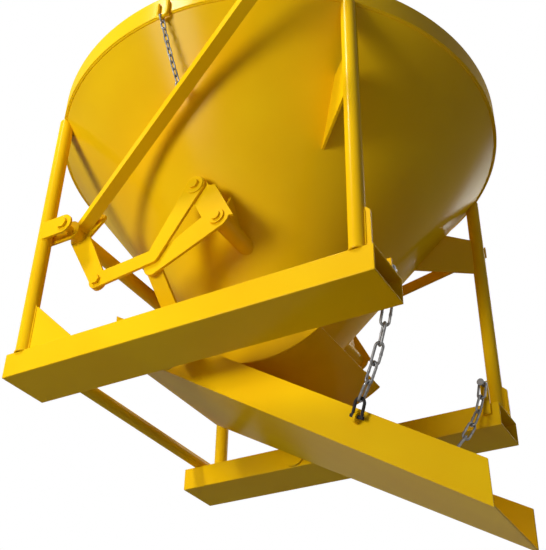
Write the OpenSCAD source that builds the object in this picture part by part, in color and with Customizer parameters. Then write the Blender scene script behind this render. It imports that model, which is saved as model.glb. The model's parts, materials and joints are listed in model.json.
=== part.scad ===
// Crane concrete bucket: conical hopper on a forklift base, lever-worked discharge gate and a hung chute.
// X runs along the fork pockets towards the discharge end, Y to the rear, Z up.
// The origin is the centre of the base, on the plane of the pocket undersides.

/* [Hopper] */
// Outside diameter of the hopper at the rim
hopper_d = 1570; // [1450:10:1620]
// Thickness of the hopper plate
hopper_wall = 6; // [4:0.5:10]
// Height of the rim's upper edge above the base
hopper_top = 1100; // [1060:5:1160]
// Height of the rim band
rim_h = 84; // [60:2:110]
// Thickness of the rim band
rim_t = 8; // [5:1:14]
// Outside diameter of the outlet collar
outlet_d = 340; // [300:5:360]
// Height of the joint between cone and collar
outlet_z = 185; // [175:1:200]

/* [Base frame] */
// Width of a fork pocket
pocket_w = 180; // [150:5:200]
// Height of a fork pocket
pocket_h = 80; // [70:1:85]
// Wall of a fork pocket
pocket_t = 6; // [4:0.5:10]
// Distance of a pocket's centre line from the middle, apart from what follows the hopper's radius
pocket_stand = 126.75; // [110:0.25:145]
// Outside diameter of a leg tube
leg_d = 48.3; // [42:0.1:54]
// Wall of a leg tube
leg_t = 4; // [3:0.5:6]
// Distance from the pocket's end to the leg's axis
leg_inset = 50; // [40:1:80]
// Distance from the pocket's centre line outwards to the leg's axis
leg_outset = 72; // [66:1:80]
// Thickness of the gusset plates
gusset_t = 8; // [5:1:12]
// Outside diameter of the cross tie
tie_d = 42.4; // [34:0.1:46]

/* [Lever gear] */
// Height of the lever's pivot
pivot_z = 522; // [510:1:534]
// Distance from the lever's pivot out to the leg's axis
pivot_reach = 88.11; // [80:0.01:110]
// Outside diameter of the torque tube
torque_d = 48.3; // [44:0.1:52]
// Length of a crank between its centres
crank_len = 234; // [225:1:240]
// Lean of the crank from plumb
crank_lean = 27.4; // [25:0.1:30]
// Length of the hand lever
lever_len = 1190; // [1000:10:1300]
// Depth of the lever's section
lever_w = 40; // [34:1:42]
// Height of the lever's section
lever_h = 30; // [24:1:34]
// Rise of the lever above level
lever_rise = 23.8; // [20:0.1:27]
// Splay of the lever away from the hopper
lever_splay = 20.2; // [19:0.1:22]

/* [Gate] */
// Distance of the gate's pivot from the outlet's axis
gate_x = 72; // [66:1:78]
// Height of the gate's pivot
gate_z = 412; // [406:1:418]
// Thickness of the gate pan and its side plates
gate_t = 8; // [5:1:10]
// Half the width of the gate pan
gate_half_w = 205; // [190:1:215]
// Swing of the pan's leading edge past plumb
gate_lead = 34.9; // [31:0.1:38]
// Thickness of arms, cranks and rods
arm_t = 10; // [8:0.5:11]
// Distance of the arm planes inside the axes of the legs
arm_in = 72; // [68:1:76]

/* [Chute] */
// Length of the chute's floor
chute_len = 1313; // [1200:1:1400]
// Half the width of the chute at its upper end
chute_back_w = 305; // [290:1:320]
// Half the width of the chute at its lower end
chute_front_w = 185; // [170:1:200]
// Height of the chute walls
chute_h = 105; // [96:1:110]
// Thickness of the chute plates
chute_t = 6; // [4:0.5:8]
// Slope of the chute's floor
chute_slope = 30.8; // [28:0.1:32]
// Diameter of the chute's hinge pins
hinge_d = 30; // [24:1:36]

/* [Chains] */
// Wire of the chute chains
chain_wire = 8; // [6:0.5:9]
// Links in a chute chain
chain_links = 7; // [5:2:9]
// Sag of a chute chain below its chord
chain_sag = 40; // [25:1:55]
// Wire of the safety chain
safety_wire = 5; // [4:0.5:6]

/* [Lifting] */
// Bore of a lifting lug
lift_bore_d = 32; // [26:1:36]
// Thickness of a lifting lug
lift_t = 12; // [10:1:16]

/* [Hidden] */
$fn = 64;

// Clearances shared by all pieces
overrun = 2;
run_fit = 0.05;
face_gap = 0.3;
link_slack = 0.4;
// Straight sides of a link stand this much inside its round ends
side_ease = 0.2;
paint = "gold";
zinc = "silver";
dark = "dimgray";

// Hopper
hopper_r = hopper_d / 2;
outlet_r = outlet_d / 2;
rim_z = hopper_top - rim_h;
shell_drop = 5;
cone_slope = (hopper_r - outlet_r) / (rim_z - outlet_z);
cone_angle = atan(cone_slope);
cone_wall_x = hopper_wall / cos(cone_angle);
cone_knee = (cone_wall_x - hopper_wall) / cone_slope;
collar_drop = 7;

// Base frame
pocket_share = 0.45;
pocket_y = pocket_stand + pocket_share * hopper_r;
pocket_in = pocket_y - pocket_w / 2;
torque_r = torque_d / 2;
torque_clear = 10;
pivot_x = -cone_r(pivot_z) - (torque_r + torque_clear) / cos(cone_angle);
leg_x = pivot_reach - pivot_x;
leg_y = pocket_y + leg_outset;
leg_r = leg_d / 2;
arm_y = leg_y - arm_in;
leg_reach = norm([leg_x, leg_y]);
// Height at which the cone comes out to the axis of a leg
leg_meet_z = rim_z - (hopper_r - leg_reach) / cone_slope;
pocket_len = 2 * (leg_x + leg_inset);
gusset_h = 160;
gusset_w = 170;
strip_h = 130;
strip_w = 40;
strip_chamfer = 12;
upper_drop = 173;
upper_h = 145;
upper_root_drop = 39;
upper_top = leg_meet_z - upper_drop;
upper_low = upper_top - upper_h;
upper_root = upper_low - upper_root_drop;
brace_h = 45;
brace_t = 8;
brace_right_z = 797;
brace_left_z = 570;

// Lever gear, with the pivots as places in the XZ plane
torque_t = 4;
torque_over = 40;
torque_half = arm_y + torque_over;
pivot = [pivot_x, pivot_z];
crank_pin = pivot + crank_len * [sin(crank_lean), -cos(crank_lean)];
crank_hub_r = 36;
crank_end_r = 28;
lug_r = 34;
lug_t = 8;
lug_pitch = 40;
pivot_pin_r = 12.5;
pin_r = 10;
pin_head_r = 17;
pin_head_t = 9;
pivot_head_r = 20;
ear_reach = 52;
ear_r = 18;
lever_offset = [32, 28];
lever_stand = 26;
lever_back = 30;
lever_t = 3;
lever_at = [pivot[0] + lever_offset[0], -arm_y - lever_stand, pivot[1] + lever_offset[1]];
lever_run = [cos(lever_rise) * cos(lever_splay), -cos(lever_rise) * sin(lever_splay), sin(lever_rise)];
lever_up = [-sin(lever_rise) * cos(lever_splay), sin(lever_rise) * sin(lever_splay), cos(lever_rise)];
ear_at = pivot + lever_offset + ear_reach * unit([lever_run[0], lever_run[2]]);
eye_along = 541;
eye_r = 16;
eye_wire = 10;
cap_t = 4;

// Gate, with its pivots as places in the XZ plane
gate = [gate_x, gate_z];
gate_gap = 3;
gate_lap = 15;
collar_reach = norm([outlet_r + gate_x, gate_z - outlet_z + collar_drop]);
gate_in_r = collar_reach + gate_gap;
gate_out_r = gate_in_r + gate_t;
gate_back = -asin((outlet_r + gate_lap + gate_x) / gate_out_r);
side_depth = 86;
rod_arm = 166;
rod_arm_lean = 29.2;
rod_pin = gate + rod_arm * [-sin(rod_arm_lean), cos(rod_arm_lean)];
rod_end_r = 34;
rod_eye_r = 28;
rod_bend_r = 24;
rod_slop = 9.8;
rod_bend_set = [209, 21];
rod_bend = crank_pin + rod_bend_set;
arm_hub_r = 42;
arm_end_r = 30;
web_tip = [-14, 131];
web_side = [57, -12];
arm_end_set = [-222, -107];
arm_end = gate + arm_end_set;
strut_turn = -45.7;
strut_reach = 296;
strut_foot = gate + strut_reach * [sin(strut_turn), -cos(strut_turn)];
strut_lean = 90;
strut_w = 56;
strut_t = 10;
strut_end = 25;
stub_r = 17;
boss_r = 27;
boss_bore_len = 60;
gate_pin_r = 15;
collar_r = 26;
collar_t = 6;
rib_t = 10;
rib_low = 15;
rib_high = 128;
rib_back = 10;
rib_top_w = 50;
washer_t = 4;
washer_r = 31;
rod_y = arm_y + arm_t + face_gap;

// Chute, placed by its hinge: distance along the floor and height over it
hinge = [-140, 110];
hinge_along = 276;
hinge_over = 77;
hinge_r = hinge_d / 2;
boss_wall = 11;
hinge_plate_t = 10;
hinge_plate_r = 32;
hinge_foot_r = 42;
hinge_foot_z = 44;
hinge_collar_r = 22;
hinge_collar_t = 6;
hinge_out = 22;
hinge_in = 13;
slope_c = cos(chute_slope);
slope_s = sin(chute_slope);
chute_at = [
    hinge[0] - hinge_along * slope_c - hinge_over * slope_s, 0,
    hinge[1] + hinge_along * slope_s - hinge_over * slope_c
];
chute_taper = (chute_back_w - chute_front_w) / chute_len;
chute_turn = atan(chute_taper);
wall_len = chute_len / cos(chute_turn);
wall_set = chute_h * tan(chute_slope);
floor_set = chute_t * tan(chute_slope);
lug_along = 890;
lug_over = 78;
lug_half = 15;
lug_hole_out = 14;
lug_hole_r = 7;
chute_lug_t = 8;

// Chains
tab_inset = 40;
tab_w = 26;
tab_t = 8;
tab_low = 40;
tab_top = 157;
tab_hole_drop = 17;
tab_bolt_r = 4;
tab_bolt_out = 34;
tab_nut_r = 8;
tab_nut_t = 5;
chain_hang = 16;
chain_inner_w = 15;
shackle_wire = 9;
shackle_inner_w = 20;
shackle_len = 46;
shackle_seat = 0.8;
shackle_pin_r = 5;
shackle_pin_over = 7;
rim_eye_x = 30;
rim_eye_r = 18;
rim_eye_wire = 12;
rim_eye_leg = 50;
rim_eye_z = 1014;
safety_links = 11;
safety_inner_w = 8;
safety_end_w = 17;
safety_sag = 6;
tab_x = pocket_len / 2 - tab_inset;

// Lifting
lift_in = 54;
lift_low = 60;
lift_high = 50;
lift_hole_drop = 30;
lift_hole_in = 29;
lift_turn = atan2(leg_y, leg_x);

// Outside radius of the cone at a height
function cone_r(z) = hopper_r - cone_slope * (rim_z - z);
function unit(v) = v / norm(v);
// The two straight sides that join a pair of circles
function tangent_quad(a, b, ra, rb) =
    let (d = norm(b - a), turn = atan2(b[1] - a[1], b[0] - a[0]), lean = acos((ra - rb) / d))
    let (u = [cos(turn + lean), sin(turn + lean)], v = [cos(turn - lean), sin(turn - lean)])
    [a + ra * u, a + ra * v, b + rb * v, b + rb * u];
// A place on the chute: distance along its floor, across it and over it
function on_chute(s, y, h) = chute_at + [s * slope_c + h * slope_s, y, h * slope_c - s * slope_s];

// A flat plate: an outline in the XZ plane, between two distances to the front of the middle
module front_plate(near, far) {
    translate([0, -near, 0]) rotate([90, 0, 0]) linear_extrude(far - near) children();
}
// A link through two or more centres, each with its own end or bend radius
module link_outline(at, radii) {
    for (i = [0 : len(at) - 1]) {
        translate(at[i]) circle(radii[i]);
        if (i > 0) polygon(tangent_quad(at[i - 1], at[i], radii[i - 1] - side_ease, radii[i] - side_ease));
    }
}
// A round bar across the machine, between two distances to the front of the middle
module front_bar(at, r, near, far) {
    translate([at[0], -near, at[1]]) rotate([90, 0, 0]) cylinder(r = r, h = far - near);
}
module front_hex(at, r, near, far) {
    translate([at[0], -near, at[1]]) rotate([90, 0, 0]) cylinder(r = r, h = far - near, $fn = 6);
}
module to_rear() {
    mirror([0, 1, 0]) children();
}
module both_sides() {
    children();
    to_rear() children();
}
// The space filled by the hopper, to cope other pieces against its outside
module hopper_space() {
    rotate_extrude($fn = 180)
        polygon([[0, outlet_z], [outlet_r, outlet_z], [hopper_r, rim_z], [hopper_r, hopper_top], [0, hopper_top]]);
}
module leg_space(x, y) {
    translate([x, y, 0]) cylinder(d = leg_d, h = hopper_top);
}
// A ring sector about the gate's pivot; angles are measured from plumb towards the discharge end
module gate_sector(r0, r1, a0, a1) {
    far = r1 + r1;
    mid = (a0 + a1) / 2;
    translate(gate) intersection() {
        difference() {
            circle(r1, $fn = 180);
            circle(r0, $fn = 180);
        }
        polygon([[0, 0], for (a = [a0, mid, a1]) far * [sin(a), -cos(a)]]);
    }
}

// Hopper
module hopper_shell() {
    shell_top = hopper_top - shell_drop;
    in_r = hopper_r - hopper_wall;
    color(paint) rotate_extrude($fn = 180) polygon([
        [outlet_r, outlet_z], [hopper_r, rim_z], [hopper_r, shell_top],
        [in_r, shell_top], [in_r, rim_z + cone_knee], [outlet_r - cone_wall_x, outlet_z]
    ]);
}
module outlet_collar() {
    collar_low = gate_z - gate_in_r - overrun;
    color(paint) intersection() {
        translate([0, 0, collar_low]) difference() {
            cylinder(r = outlet_r, h = outlet_z - collar_low, $fn = 120);
            translate([0, 0, -overrun])
                cylinder(r = outlet_r - hopper_wall, h = outlet_z - collar_low + 2 * overrun, $fn = 120);
        }
        front_bar(gate, collar_reach, -outlet_d, outlet_d);
    }
}
module rim_band() {
    color(paint) translate([0, 0, rim_z]) difference() {
        cylinder(r = hopper_r + rim_t, h = rim_h, $fn = 180);
        translate([0, 0, -overrun]) cylinder(r = hopper_r, h = rim_h + 2 * overrun, $fn = 180);
    }
}

// Base frame
module fork_pocket() {
    color(paint) translate([-pocket_len / 2, -pocket_y - pocket_w / 2, 0]) difference() {
        cube([pocket_len, pocket_w, pocket_h]);
        translate([-overrun, pocket_t, pocket_t])
            cube([pocket_len + 2 * overrun, pocket_w - 2 * pocket_t, pocket_h - 2 * pocket_t]);
    }
}
module front_fork_pocket() {
    fork_pocket();
}
module rear_fork_pocket() {
    to_rear() fork_pocket();
}
module leg(x, y) {
    color(paint) difference() {
        translate([x, y, pocket_h]) difference() {
            cylinder(d = leg_d, h = rim_z - pocket_h);
            translate([0, 0, -overrun]) cylinder(d = leg_d - 2 * leg_t, h = rim_z - pocket_h + 2 * overrun);
        }
        hopper_space();
    }
}
module front_left_leg() {
    leg(-leg_x, -leg_y);
}
module front_right_leg() {
    leg(leg_x, -leg_y);
}
module rear_left_leg() {
    leg(-leg_x, leg_y);
}
module rear_right_leg() {
    leg(leg_x, leg_y);
}
// The long gusset at the foot of the front left leg, which carries the lever
module long_gusset() {
    near = leg_y - gusset_t / 2;
    difference() {
        front_plate(near, near + gusset_t) polygon([
            [-leg_x, pocket_h], [leg_r + gusset_w - leg_x, pocket_h],
            [leg_r - leg_x, pocket_h + gusset_h], [-leg_x, pocket_h + gusset_h]
        ]);
        leg_space(-leg_x, -leg_y);
    }
}
// A narrow foot plate on one side of a discharge-end leg: 1 outwards, -1 inwards
module foot_strip(way) {
    near = leg_y - gusset_t / 2;
    difference() {
        front_plate(near, near + gusset_t) translate([leg_x, pocket_h]) polygon([
            [0, 0], [way * strip_w, 0], [way * strip_w, strip_h - strip_chamfer],
            [way * (strip_w - strip_chamfer), strip_h], [0, strip_h]
        ]);
        leg_space(leg_x, -leg_y);
    }
}
module foot_gussets() {
    color(paint) {
        long_gusset();
        foot_strip(1);
        to_rear() {
            foot_strip(1);
            foot_strip(-1);
        }
    }
}
module upper_gussets() {
    color(paint) for (side = [-1, 1]) difference() {
        rotate([0, 0, side * lift_turn]) translate([0, gusset_t / 2, 0]) rotate([90, 0, 0])
            linear_extrude(gusset_t) polygon([
                [cone_r(upper_root), upper_root], [leg_reach, upper_low], [leg_reach, upper_top],
                [cone_r(upper_root), upper_top]
            ]);
        hopper_space();
        leg_space(leg_x, side * leg_y);
    }
}
module cross_tie() {
    color(paint) difference() {
        front_bar([-leg_x, pocket_h + tie_d / 2], tie_d / 2, -leg_y, leg_y);
        front_bar([-leg_x, pocket_h + tie_d / 2], tie_d / 2 - leg_t, -leg_y - overrun, leg_y + overrun);
        leg_space(-leg_x, -leg_y);
        leg_space(-leg_x, leg_y);
    }
}
module rear_brace() {
    half = brace_h / 2;
    color(paint) to_rear() front_plate(leg_y + leg_r, leg_y + leg_r + brace_t) polygon([
        [-leg_x - leg_r, brace_left_z - half], [leg_x + leg_r, brace_right_z - half],
        [leg_x + leg_r, brace_right_z + half], [-leg_x - leg_r, brace_left_z + half]
    ]);
}
module lifting_lugs() {
    out_r = hopper_r - hopper_wall;
    low = hopper_top - lift_low;
    high = hopper_top + lift_high;
    color(paint) for (a = [lift_turn, 180 - lift_turn, 180 + lift_turn, -lift_turn]) intersection() {
        rotate([0, 0, a]) translate([0, lift_t / 2, 0]) rotate([90, 0, 0]) difference() {
            linear_extrude(lift_t) polygon([
                [out_r - lift_in, low + lift_in], [out_r + overrun, low], [out_r + overrun, high],
                [out_r - lift_in, high]
            ]);
            translate([out_r - lift_hole_in, high - lift_hole_drop, -overrun])
                cylinder(d = lift_bore_d, h = lift_t + 2 * overrun);
        }
        cylinder(r = out_r, h = high + overrun, $fn = 180);
    }
}

// Lever gear
module lever_bracket() {
    color(paint) for (side = [-1, 1]) {
        near = leg_y + side * lug_pitch / 2 - lug_t / 2;
        difference() {
            front_plate(near, near + lug_t) difference() {
                union() {
                    translate([-leg_x, pivot_z - lug_r]) square([pivot[0] + leg_x, 2 * lug_r]);
                    translate(pivot) circle(lug_r);
                }
                translate(pivot) circle(pivot_pin_r + run_fit);
            }
            leg_space(-leg_x, -leg_y);
        }
    }
}
module front_lever_bracket() {
    lever_bracket();
}
module rear_lever_bracket() {
    to_rear() lever_bracket();
}
module torque_tube() {
    color(paint) difference() {
        front_bar(pivot, torque_r, -torque_half, torque_half);
        front_bar(pivot, torque_r - torque_t, -torque_half - overrun, torque_half + overrun);
    }
}
module lever_pivot_pins() {
    lug_face = leg_y + (lug_pitch + lug_t) / 2 + face_gap;
    color(zinc) both_sides() {
        front_bar(pivot, torque_r - torque_t, arm_y, torque_half);
        front_bar(pivot, pivot_pin_r, torque_half, lug_face);
        front_hex(pivot, pivot_head_r, lug_face, lug_face + pin_head_t);
    }
}
module crank(ear) {
    color(paint) front_plate(arm_y, arm_y + arm_t) difference() {
        union() {
            link_outline([pivot, crank_pin], [crank_hub_r, crank_end_r]);
            if (ear) link_outline([ear_at, pivot], [ear_r, crank_hub_r]);
        }
        translate(pivot) circle(torque_r);
        translate(crank_pin) circle(pin_r);
    }
}
module front_crank() {
    crank(true);
}
module rear_crank() {
    to_rear() crank(false);
}
module crank_pins() {
    head = rod_y + arm_t + face_gap;
    color(zinc) both_sides() {
        front_hex(crank_pin, pin_head_r, arm_y - pin_head_t, arm_y);
        front_bar(crank_pin, pin_r, arm_y, head);
        front_hex(crank_pin, pin_head_r, head, head + pin_head_t);
    }
}
module along_lever() {
    translate(lever_at) rotate([0, -lever_rise, -lever_splay]) children();
}
module lever_bar() {
    face = arm_y + arm_t;
    color(paint) difference() {
        along_lever() difference() {
            translate([-lever_back, -lever_w / 2, -lever_h / 2])
                cube([lever_len + lever_back, lever_w, lever_h]);
            translate([-lever_back - overrun, lever_t - lever_w / 2, lever_t - lever_h / 2])
                cube([lever_len + lever_back + 2 * overrun, lever_w - 2 * lever_t, lever_h - 2 * lever_t]);
        }
        translate([-leg_x, -face, 0]) cube([leg_x, face, hopper_top]);
        front_bar(pivot, torque_r, arm_y, leg_y);
    }
}
module lever_end_cap() {
    color(dark) along_lever() translate([lever_len, -lever_w / 2, -lever_h / 2]) cube([cap_t, lever_w, lever_h]);
}
module lever_eye() {
    color(paint) along_lever() translate([eye_along, 0, lever_h / 2]) rotate([90, 0, 0])
        rotate_extrude(angle = 180) translate([eye_r, 0]) circle(d = eye_wire, $fn = 32);
}
module connecting_rod() {
    color(paint) front_plate(rod_y, rod_y + arm_t) difference() {
        link_outline([crank_pin, rod_bend, rod_pin], [rod_eye_r, rod_bend_r, rod_end_r]);
        translate(crank_pin) circle(pin_r + run_fit);
        translate(rod_pin) circle(pin_r + rod_slop);
    }
}
module front_connecting_rod() {
    connecting_rod();
}
module rear_connecting_rod() {
    to_rear() connecting_rod();
}

// Gate
module gate_bracket() {
    face = arm_y - face_gap;
    boss_in = cone_r(gate_z) / 2;
    rib_face = face - rib_back;
    color(paint) difference() {
        union() {
            front_bar(gate, boss_r, boss_in, face);
            translate([gate_x - rib_t / 2, 0, gate_z]) rotate([90, 0, 90]) linear_extrude(rib_t) polygon([
                [-rib_face, rib_low], [-boss_in, rib_low], [-boss_in, rib_high], [-rib_face + rib_top_w, rib_high]
            ]);
        }
        hopper_space();
        front_bar(gate, gate_pin_r, face - boss_bore_len, face + overrun);
    }
}
module front_gate_bracket() {
    gate_bracket();
}
module rear_gate_bracket() {
    to_rear() gate_bracket();
}
module gate_pivot_pins() {
    color(zinc) both_sides()
        front_bar(gate, gate_pin_r, arm_y - face_gap - boss_bore_len, arm_y + arm_t + face_gap + 2 * collar_t);
}
module gate_pin_collars() {
    face = arm_y + arm_t + face_gap;
    color(zinc) both_sides() difference() {
        front_bar(gate, collar_r, face, face + collar_t);
        front_bar(gate, gate_pin_r, face - overrun, face + collar_t + overrun);
    }
}
module gate_arm() {
    color(paint) front_plate(arm_y, arm_y + arm_t) difference() {
        union() {
            link_outline([rod_pin, gate, arm_end], [rod_end_r, arm_hub_r, arm_end_r]);
            polygon([gate, gate + web_side, gate + web_tip, rod_pin]);
        }
        translate(gate) circle(gate_pin_r + run_fit);
        translate(rod_pin) circle(pin_r);
    }
}
module front_gate_arm() {
    gate_arm();
}
module rear_gate_arm() {
    to_rear() gate_arm();
}
module gate_rod_pins() {
    head = rod_y + arm_t + face_gap + washer_t;
    color(zinc) both_sides() {
        front_hex(rod_pin, pin_head_r, arm_y - pin_head_t, arm_y);
        front_bar(rod_pin, pin_r, arm_y, head);
        front_hex(rod_pin, pin_head_r, head, head + pin_head_t);
    }
}
module gate_rod_washers() {
    face = rod_y + arm_t + face_gap;
    color(zinc) both_sides() difference() {
        front_bar(rod_pin, washer_r, face, face + washer_t);
        front_bar(rod_pin, pin_r, face - overrun, face + washer_t + overrun);
    }
}
module gate_pan() {
    color(paint) front_plate(-gate_half_w, gate_half_w) gate_sector(gate_in_r, gate_out_r, gate_back, gate_lead);
}
module gate_side_plates() {
    color(paint) both_sides() front_plate(gate_half_w, gate_half_w + gate_t)
        gate_sector(gate_out_r - side_depth, gate_out_r, gate_back, gate_lead);
}
// Flat struts that lean inwards from the ends of the arms, each with a stub bar to the side plate
module gate_struts() {
    top = [arm_end[0], -arm_y, arm_end[1]];
    run = [strut_foot[0], strut_lean - arm_y, strut_foot[1]] - top;
    color(paint) both_sides() {
        difference() {
            set_along(top, run, [0, 0, 1]) translate([-strut_end, -strut_w / 2, -strut_t / 2])
                cube([norm(run) + 2 * strut_end, strut_w, strut_t]);
            translate([arm_end[0] - strut_w, -arm_y - strut_w, 0]) cube([2 * strut_w, strut_w, gate_z]);
        }
        front_bar(strut_foot, stub_r, gate_half_w + gate_t, arm_y - strut_lean);
    }
}

// Chute
module along_chute() {
    translate(chute_at) rotate([0, chute_slope, 0]) children();
}
module chute_floor() {
    color(paint) along_chute() rotate([90, 0, 0]) translate([0, 0, -chute_back_w]) intersection() {
        linear_extrude(2 * chute_back_w) polygon([
            [0, 0], [chute_len, 0], [chute_len - floor_set, chute_t], [-floor_set, chute_t]
        ]);
        rotate([-90, 0, 0]) translate([0, -chute_back_w, -overrun]) linear_extrude(chute_t + 2 * overrun) polygon([
            [-floor_set, -chute_back_w - floor_set * chute_taper], [chute_len, -chute_front_w],
            [chute_len, chute_front_w], [-floor_set, chute_back_w + floor_set * chute_taper]
        ]);
    }
}
module chute_wall() {
    color(paint) difference() {
        along_chute() translate([0, -chute_back_w, 0]) rotate([0, 0, chute_turn])
            translate([0, chute_t, 0]) rotate([90, 0, 0]) linear_extrude(chute_t) polygon([
                [-floor_set, chute_t], [wall_len - floor_set, chute_t],
                [wall_len - wall_set, chute_h], [-wall_set, chute_h]
            ]);
        front_bar(hinge, hinge_r + boss_wall, 0, chute_back_w + overrun);
    }
}
module chute_front_wall() {
    chute_wall();
}
module chute_rear_wall() {
    to_rear() chute_wall();
}
hinge_wall_y = chute_back_w - hinge_along * chute_taper;
module chute_bosses() {
    color(paint) both_sides() difference() {
        front_bar(hinge, hinge_r + boss_wall, hinge_wall_y - hinge_in, hinge_wall_y + hinge_out);
        front_bar(hinge, hinge_r + run_fit, hinge_wall_y - hinge_in - overrun, hinge_wall_y + hinge_out + overrun);
    }
}
module chute_hinge_brackets() {
    color(paint) both_sides() front_plate(pocket_in - hinge_plate_t, pocket_in) difference() {
        link_outline([[hinge[0], hinge_foot_z], hinge], [hinge_foot_r, hinge_plate_r]);
        translate(hinge) circle(hinge_r);
    }
}
module chute_hinge_pins() {
    boss_end = hinge_wall_y + hinge_out + face_gap;
    color(zinc) both_sides() {
        front_bar(hinge, hinge_r, hinge_wall_y - hinge_in, pocket_in);
        front_bar(hinge, hinge_collar_r, boss_end, boss_end + hinge_collar_t);
    }
}
lug_wall_y = chute_back_w - lug_along * chute_taper;
module chute_chain_lugs() {
    root = lug_wall_y - chute_t;
    color(paint) both_sides() difference() {
        along_chute() translate([lug_along - chute_lug_t / 2, -root, lug_over]) rotate([90, 0, 90])
            linear_extrude(chute_lug_t) difference() {
                union() {
                    translate([-lug_hole_out - chute_t, 0]) circle(lug_half);
                    translate([-lug_hole_out - chute_t, -lug_half]) square([lug_hole_out + chute_t, 2 * lug_half]);
                }
                translate([-lug_hole_out - chute_t, 0]) circle(lug_hole_r);
            }
        along_chute() translate([0, -chute_back_w, 0]) rotate([0, 0, chute_turn])
            cube([wall_len, chute_back_w, chute_h]);
    }
}

// Chains
// One oval link along X, in the XY plane
module oval_link(inner_len, inner_w, wire) {
    bend_r = (inner_w + wire) / 2;
    side = inner_len - inner_w;
    for (flip = [0, 180]) rotate([0, 0, flip]) {
        translate([side / 2, 0, 0]) rotate([0, 0, -90]) rotate_extrude(angle = 180)
            translate([bend_r, 0]) circle(d = wire, $fn = 24);
        translate([-side / 2, bend_r, 0]) rotate([0, 90, 0]) cylinder(d = wire, h = side, $fn = 24);
    }
}
// Sets a piece with its X axis along one direction and its Z axis as near as can be to another
module set_along(at, run, face) {
    x = unit(run);
    z = unit(face - (face * x) * x);
    y = cross(z, x);
    multmatrix([
        [x[0], y[0], z[0], at[0]], [x[1], y[1], z[1], at[1]], [x[2], y[2], z[2], at[2]], [0, 0, 0, 1]
    ]) children();
}
// A hanging chain from a to b; the links turn a quarter each and ease from one end face to the other
module hung_chain(a, b, sag, links, wire, inner_w, end_w, face_a, face_b) {
    span = norm(b - a);
    run = unit(b - a);
    drop = unit([0, 0, -1] - (-run[2]) * run);
    radius = (span * span / 4 + sag * sag) / (2 * sag);
    sweep = 4 * atan(2 * sag / span);
    centre = (a + b) / 2 - (radius - sag) * drop;
    turns = [for (i = [0 : links]) sweep * (i / links - 0.5)];
    pts = [for (t = turns) centre + radius * (sin(t) * run + cos(t) * drop)];
    pitch = norm(pts[1] - pts[0]);
    side = cross(run, drop);
    turn_a = atan2(face_a * drop, face_a * side);
    turn_b = atan2(face_b * drop, face_b * side);
    spare = turn_b - turn_a - (links - 1) * 90;
    ease = spare - 180 * round(spare / 180);
    for (i = [0 : links - 1]) {
        turn = turn_a + 90 * i + ease * i / (links - 1);
        set_along((pts[i] + pts[i + 1]) / 2, pts[i + 1] - pts[i], cos(turn) * side + sin(turn) * drop)
            oval_link(pitch + link_slack, i == 0 || i == links - 1 ? end_w : inner_w, wire);
    }
}
tab_hole = [tab_x, tab_top - tab_hole_drop];
module chain_tabs() {
    color(paint) both_sides() front_plate(pocket_in - tab_t, pocket_in) difference() {
        translate([tab_x - tab_w / 2, tab_low]) square([tab_w, tab_top - tab_low]);
        translate(tab_hole) circle(tab_bolt_r);
    }
}
module chain_bolts() {
    nut_y = pocket_in - tab_t - tab_bolt_out;
    color(zinc) both_sides() {
        front_hex(tab_hole, tab_nut_r, pocket_in, pocket_in + tab_nut_t);
        front_bar(tab_hole, tab_bolt_r, nut_y, pocket_in);
        difference() {
            front_bar(tab_hole, tab_nut_r + tab_bolt_r, nut_y, nut_y + tab_nut_t);
            front_bar(tab_hole, tab_bolt_r, nut_y - overrun, nut_y + tab_nut_t + overrun);
        }
    }
}
lug_hole = on_chute(lug_along, -lug_wall_y - lug_hole_out, lug_over);
bolt_at = [tab_hole[0], -pocket_in + tab_t + chain_hang, tab_hole[1]];
chain_run = unit(lug_hole - bolt_at);
shackle_pin = lug_hole - (lug_hole_r - shackle_pin_r - face_gap) * chain_run;
shackle_face = cross(chain_run, [slope_c, 0, -slope_s]);
module chute_chain() {
    top = bolt_at - (tab_bolt_r + face_gap) * chain_run;
    low = shackle_pin - (shackle_len - shackle_seat) * chain_run;
    color(zinc) hung_chain(top, low, chain_sag, chain_links, chain_wire, chain_inner_w, chain_inner_w,
        [0, 1, 0], cross(shackle_face, chain_run));
}
module front_chute_chain() {
    chute_chain();
}
module rear_chute_chain() {
    to_rear() chute_chain();
}
module chute_shackles() {
    bend_r = (shackle_inner_w + shackle_wire) / 2;
    leg_len = shackle_len - shackle_inner_w / 2;
    pin_half = bend_r + shackle_pin_over;
    color(dark) both_sides() set_along(shackle_pin, -chain_run, shackle_face) {
        translate([leg_len, 0, 0]) rotate([0, 0, -90]) rotate_extrude(angle = 180)
            translate([bend_r, 0]) circle(d = shackle_wire, $fn = 24);
        for (side = [-1, 1]) translate([0, side * bend_r, 0]) rotate([0, 90, 0])
            cylinder(d = shackle_wire, h = leg_len, $fn = 24);
        rotate([90, 0, 0]) translate([0, 0, -pin_half]) cylinder(r = shackle_pin_r, h = 2 * pin_half);
    }
}
rim_eye_y = sqrt(pow(hopper_r + rim_t, 2) - rim_eye_x * rim_eye_x) + rim_eye_wire / 2;
module rim_eye() {
    color(paint) difference() {
        translate([rim_eye_x, -rim_eye_y, rim_eye_z]) {
            rotate([-90, 0, 0]) rotate_extrude(angle = 180) translate([rim_eye_r, 0])
                circle(d = rim_eye_wire, $fn = 32);
            for (side = [-1, 1]) translate([side * rim_eye_r, 0, 0]) cylinder(d = rim_eye_wire, h = rim_eye_leg);
        }
        cylinder(r = hopper_r + rim_t, h = hopper_top, $fn = 180);
    }
}
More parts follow.
